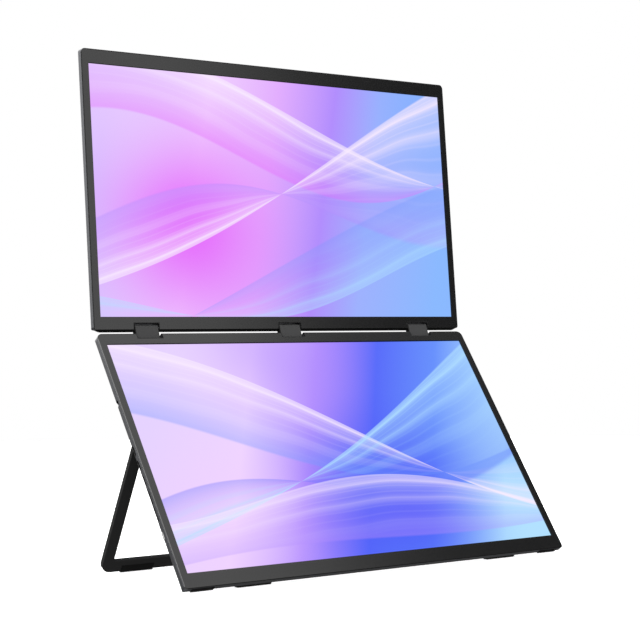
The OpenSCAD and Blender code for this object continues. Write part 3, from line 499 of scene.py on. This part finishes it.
edge_shade_width = 0.0008
notch_shade_width = 0.0005
rim_soft = 0.0001
notch_gap = 0.0007
lower_notch_deep = 0.00436
upper_notch_deep = 0.00506
lower_side_shade_reach = 0.001
upper_side_shade_reach = 0.00035
link_low, link_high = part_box("hinge_link_right")
link_far = (link_low[0] + link_high[0]) / 2
notch_half = (link_high[0] - link_low[0]) / 2 + notch_gap


def satin(name, bezel, place, side_shade_reach, notch_deep, hinge_up):
    """Satin plastic, with a dull near-black band of painted shade at the outer edge and notches."""
    moulded = finish(name)
    at = moulded.place()
    spark = moulded.noise(at, 0.0003, 3)
    tone = moulded.noise(at, 0.02)
    rubs = moulded.noise(at, 0.0015, 4, stretch=(0.3, 1, 1)).step(0.62, 0.8)
    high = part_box(bezel)[1]
    to_display = place.inverted()
    up = at.along(to_display[2].xyz) + to_display[2].w
    tall = max((to_display @ v.co).z for v in nodes[bezel].data.vertices)
    across = at.part(0).size()
    edge = (high[0] - across + side_shade_reach).least(tall - up)
    # The dull bands are painted shade: they stand in for the shadow at the edge and in the notches.
    edge_shade_band = edge.step(edge_shade_width + rim_soft, edge_shade_width - rim_soft)
    from_link = across.least((across - link_far).size()) - notch_half
    from_floor = (tall - up if hinge_up else up) - notch_deep
    notch_shade_band = from_link.most(from_floor).step(notch_shade_width + rim_soft, notch_shade_width - rim_soft)
    sheen = moulded.add("ShaderNodeBsdfPrincipled", {}, {
        "Base Color": (tone * 0.5 + rubs * 0.3).blend(
            (0.004, 0.004, 0.0042, 1), (0.009, 0.009, 0.0092, 1)),
        "Roughness": 0.13 + 0.06 * spark + 0.05 * rubs,
        "Normal": moulded.relief(spark, 0.00001, 0.2),
    })
    # A dull, low-sheen coat that carries the painted shade.
    painted_shade_dull = moulded.add("ShaderNodeBsdfPrincipled", {}, {
        "Base Color": spark.blend((0.006, 0.006, 0.006, 1), (0.012, 0.012, 0.012, 1)),
        "Roughness": 0.6 + 0.1 * spark,
        "Specular IOR Level": 0.2,
    })
    both = moulded.add("ShaderNodeMixShader", {}, {0: edge_shade_band.most(notch_shade_band), 1: sheen, 2: painted_shade_dull})
    moulded.add("ShaderNodeOutputMaterial", {}, {"Surface": both})
    return moulded.owner


coat(satin("satin_bezel_lower", "lower_front_bezel", lower_place, lower_side_shade_reach,
           lower_notch_deep, hinge_up=True), "lower_front_bezel")
coat(satin("satin_bezel_upper", "upper_front_bezel", upper_place, upper_side_shade_reach,
           upper_notch_deep, hinge_up=False), "upper_front_bezel")

# ------------------------------------------------------------------ electronics cover
# The shallow housing on the back is a moulding with a coarser eroded texture, held by six
# blackened screws. The mould leaves its slots clean edged and its flats faintly cloudy.

textured = finish("eroded_moulding")
at = textured.place()
coarse = textured.noise(at, 0.0005, 3)
tone = textured.noise(at, 0.03)
coat(textured.surface({
    "Base Color": (tone * 0.6 + coarse * 0.3).blend(paint(44, 45, 47), paint(60, 61, 63)),
    "Roughness": 0.42 + 0.16 * coarse,
    "Normal": textured.relief(coarse, 0.00003, 0.5),
}), "electronics_cover")

# ------------------------------------------------------------------ feet and pads
# Soft black rubber: two strips let into the bottom wall, two feet wrapped round the rail and two
# pads wrapped round the stand's bar. They are moulded with a matt skin and fine ribs that grip.

rubber = finish("matt_rubber")
at = rubber.place()
skin = rubber.noise(at, 0.0004, 3)
rib_pitch = 0.0012
ribs = (at.part(0) * (math.tau / rib_pitch)).sine()
bloom = rubber.noise(at, 0.008)
coat(rubber.surface({
    "Base Color": (bloom * 0.6 + skin * 0.3).blend(
        (0.002, 0.002, 0.002, 1), (0.006, 0.006, 0.006, 1)),
    "Roughness": 0.7 + 0.2 * skin,
    "Specular IOR Level": 0.12,
    "Normal": rubber.relief(ribs * 0.5 + skin * 0.5, 0.00004, 0.4),
}), "front_foot_left", "front_foot_right", "rear_foot_left", "rear_foot_right",
    "stand_pad_left", "stand_pad_right")

# ------------------------------------------------------------------ stand
# One plate of alloy, cut to a U and powder coated matt black. The coat has a slight orange peel
# and fine specks.

powder = finish("black_powder_coat")
at = powder.place()
peel = powder.noise(at, 0.0007, 2)
speck = powder.noise(at, 0.0002, 2)
coat(powder.surface({
    "Base Color": (peel * 0.6 + speck * 0.4).blend(
        (0.012, 0.012, 0.012, 1), (0.021, 0.021, 0.0213, 1)),
    "Roughness": 0.5 + 0.15 * speck,
    "Specular IOR Level": 0.1,
    "Normal": powder.relief(peel + 0.5 * speck, 0.00003, 0.5),
}), "stand_frame")

# ------------------------------------------------------------------ hinge links
# Short bars machined from alloy, tumbled and anodised dark grey, that carry both sets of pins.
# Their flat sides are painted near black and dull: painted shade for the shadow in the notches.

tumbled = finish("tumbled_links")
at = tumbled.place()
grain = tumbled.noise(at, 0.0003, 3)
faces = grain.blend((0.035, 0.035, 0.0355, 1), (0.046, 0.046, 0.0465, 1))
# Painted shade: faces whose normal points across get a near-black base and more roughness.
painted_shade_sides = tumbled.add("ShaderNodeNewGeometry", {}, {}, out="Normal").part(0).size().step(0.4, 0.8)
coat(tumbled.surface({
    "Base Color": painted_shade_sides.blend(faces, (0.003, 0.003, 0.003, 1)),
    "Roughness": (0.4 + 0.14 * grain).most(0.8 * painted_shade_sides),
    "Specular IOR Level": 0.15,
    "Normal": tumbled.relief(grain, 0.00001, 0.5),
}), "hinge_link_left", "hinge_link_centre", "hinge_link_right")

# ------------------------------------------------------------------ hinge rim
# Moulded strips of matt black elastomer, bonded along the upper display's hinge edge between
# the links. Their near-black, unreflective skin is partly painted shade for the shadow there.

soft = finish("black_rim_painted_shade")
at = soft.place()
skin = soft.noise(at, 0.0003, 3)
# Near-black, almost unreflective: partly the strip's own colour, partly painted shade.
coat(soft.surface({
    "Base Color": skin.blend((0.0015, 0.0015, 0.0015, 1), (0.004, 0.004, 0.004, 1)),
    "Roughness": 0.75 + 0.15 * skin,
    "Specular IOR Level": 0.08,
    "Normal": soft.relief(skin, 0.00002, 0.4),
}), "upper_hinge_rim")

# ------------------------------------------------------------------ studio
# A round pale table that only the camera and the shadows see, in a bright room with a dark ground.
# A black card in front on the right makes the fronts fade from left to right. Behind it a hood
# shades the top edges, and a soft box at the upper left lights the side with the ports.

floor_r = 1.6
work = bmesh.new()
bmesh.ops.create_circle(work, cap_ends=True, segments=96, radius=floor_r)
mesh = bpy.data.meshes.new("table_top")
work.to_mesh(mesh)
work.free()
table_top = bpy.data.objects.new("table_top", mesh)
bpy.context.scene.collection.objects.link(table_top)
laminate = finish("pale_table")
at = laminate.place()
fleck = laminate.noise(at, 0.002)
mesh.materials.append(laminate.surface({
    "Base Color": fleck.blend((0.9, 0.9, 0.9, 1), (0.93, 0.93, 0.93, 1)),
    "Roughness": 0.6,
    "Emission Color": (1, 1, 1, 1),
    "Emission Strength": 0.78,
}))
table_top.visible_glossy = False
table_top.visible_diffuse = False

wall_light, softbox_light = 1.68, 4.5
softbox_way = Vector((-0.78, -0.25, 0.57))
card_dark, card_top_fade, hood_dark = 0.94, 0.14, 0.97
ground_dark, far_ground_dark, right_ground_dark = 0.5, 0.75, 0.7
left_wall_dark, rear_wall_gain = 0.5, 0.15
room = Finish(bpy.data.worlds.new("room"))
bpy.context.scene.world = room.owner
way = room.add("ShaderNodeTexCoord", {}, {}, out="Generated")
side, depth, up = (way.part(axis) for axis in range(3))
short_of_right = side.step(0.9, 0.8)
low_bend = 0.016 * up.step(0.2, 0.3) * up.step(0.5, 0.4)
high_bend = 0.03 * up.step(0.4, 0.6) * up.step(0.76, 0.7)
card_edge = side + low_bend - high_bend
card = card_edge.step(0.535, 0.588) * short_of_right * depth.step(0.1, -0.1)
right = side.step(0.25, 0.4) * short_of_right
hood = right * depth.step(0, 0.3) * up.step(0.2, 0.4)
ground = up.step(0.01, -0.07)
far_ground = ground * depth.step(0.3, 0.6)
left_wall = 1 - left_wall_dark * side.step(-0.65, -0.8)
rear_wall = 1 + rear_wall_gain * depth.step(0.6, 0.8)
card_share = card_dark - card_top_fade * up.step(0.67, 0.74)
lit = wall_light * left_wall * rear_wall
lit = lit * (1 - card_share * card) * (1 - hood_dark * hood) * (1 - ground_dark * ground)
lit = lit * (1 - far_ground_dark * far_ground) * (1 - right_ground_dark * ground * right)
lit = lit + softbox_light * way.along(softbox_way).step(0.92, 0.97)
seen = room.add("ShaderNodeLightPath", {}, {}, out="Is Camera Ray")
glow = room.add(
    "ShaderNodeBackground", {}, {"Color": (1, 1, 1, 1), "Strength": seen + (1 - seen) * lit})
room.add("ShaderNodeOutputWorld", {}, {"Surface": glow})

lens = 94.491
camera_at = (-0.778012, -1.064333, 0.178611)
heading, climb, roll = (math.radians(a) for a in (35.9004, 0.4707, -0.4552))
camera_data = bpy.data.cameras.new("camera")
camera_data.sensor_width = 36
camera_data.lens = lens
camera_data.clip_end = 50
camera = bpy.data.objects.new("camera", camera_data)
bpy.context.scene.collection.objects.link(camera)
camera.matrix_world = (
    Matrix.Translation(camera_at)
    @ Matrix.Rotation(-heading, 4, "Z")
    @ Matrix.Rotation(math.pi / 2 + climb, 4, "X")
    @ Matrix.Rotation(roll, 4, "Z"))
bpy.context.scene.camera = camera
bpy.context.scene.view_settings.view_transform = "Standard"
